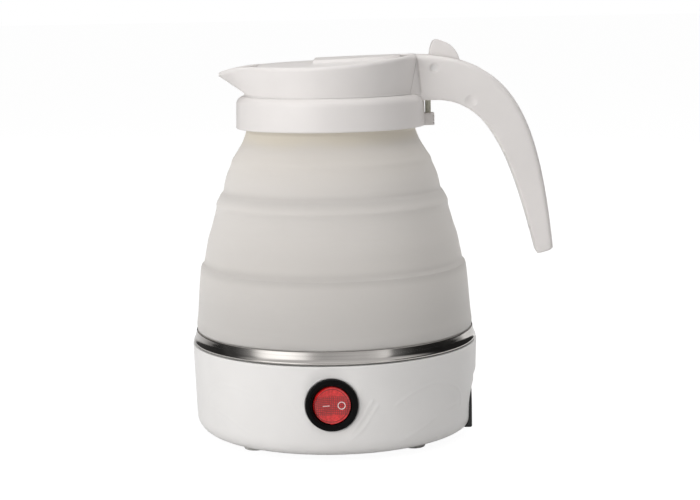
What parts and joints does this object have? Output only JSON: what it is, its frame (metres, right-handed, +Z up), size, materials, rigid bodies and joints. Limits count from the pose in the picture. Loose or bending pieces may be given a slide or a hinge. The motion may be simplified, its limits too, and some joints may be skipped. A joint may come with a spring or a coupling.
{
  "type": "collapsible kettle",
  "caption": "Folding electric travel kettle: silicone wall that collapses onto a heated base, with a rocker switch, and a spout head with handle and hinged lid.",
  "frame": {"origin": "centre of the bottom cover's underside, on the kettle's upright axis; the rubber feet reach 2.9 mm below it", "axes": "+Z up along the kettle's axis, -X towards the spout, +X towards the handle, -Y towards the switch"},
  "size_m": [0.166, 0.1328, 0.1794],
  "materials": {
    "white_plastic": "satin white moulding",
    "silicone": "matt translucent warm grey silicone",
    "stainless": "brushed round the kettle",
    "black_plastic": "gloss black",
    "red_plastic": "gloss translucent red",
    "grey_rubber": "matt",
    "dark_seal": "matt",
    "brass": "bright",
    "cast_aluminium": "as cast",
    "phenolic": "matt",
    "zinc_steel": "zinc plated",
    "blue_insulation": "satin sleeve",
    "brown_insulation": "satin sleeve",
    "green_insulation": "satin sleeve"
  },
  "bodies": {
    "base": {"base_housing": "white_plastic", "base_bottom_cover": "white_plastic", "silicone_lower_tier": "silicone", "steel_vessel": "stainless", "silicone_clamp_ring": "stainless", "heating_element": "stainless", "switch_housing": "black_plastic", "inlet_housing": "black_plastic", "rubber_foot_1": "grey_rubber", "rubber_foot_2": "grey_rubber", "rubber_foot_3": "grey_rubber", "rubber_foot_4": "grey_rubber", "vessel_seal": "dark_seal", "thermostat_terminal_1": "brass", "thermostat_terminal_2": "brass", "switch_terminal_1": "brass", "switch_terminal_2": "brass", "switch_terminal_3": "brass", "inlet_pin_1": "brass", "inlet_pin_2": "brass", "inlet_pin_3": "brass", "heat_spreader": "cast_aluminium", "thermal_fuse": "cast_aluminium", "thermostat": "phenolic", "cover_screw_1": "zinc_steel", "cover_screw_2": "zinc_steel", "cover_screw_3": "zinc_steel", "inlet_screw_1": "zinc_steel", "inlet_screw_2": "zinc_steel", "wire_neutral": "blue_insulation", "wire_switched": "blue_insulation", "wire_live": "brown_insulation", "wire_thermostat": "brown_insulation", "wire_fuse": "brown_insulation", "wire_earth": "green_insulation"},
    "middle_tier": {"silicone_middle_tier": "silicone"},
    "head": {"silicone_upper_tier": "silicone", "collar_ring": "white_plastic", "collar_tie_pin": "zinc_steel", "spout_head": "white_plastic", "handle_inner_cover": "white_plastic", "lid_hinge_pin": "stainless"},
    "lid": {"lid": "white_plastic"},
    "rocker": {"switch_rocker": "red_plastic"}
  },
  "joints": [
    {"name": "collapse", "type": "slide", "parent": "base", "child": "head", "axis": [0, 0, -1], "range_m": [0, 0.064]},
    {"name": "middle_fold", "type": "slide", "parent": "base", "child": "middle_tier", "axis": [0, 0, -1], "range_m": [0, 0.032]},
    {"name": "lid_hinge", "type": "hinge", "parent": "head", "child": "lid", "pos_m": [0.0472, 0, 0.164], "axis": [0, 1, 0], "range_deg": [0, 70]},
    {"name": "switch", "type": "hinge", "parent": "base", "child": "rocker", "pos_m": [0, -0.0634, 0.0233], "axis": [0, 0, -1], "range_deg": [0, 16]}
  ],
  "couplings": [
    {"joint": "middle_fold", "follows": "collapse", "ratio": 0.5}
  ]
}
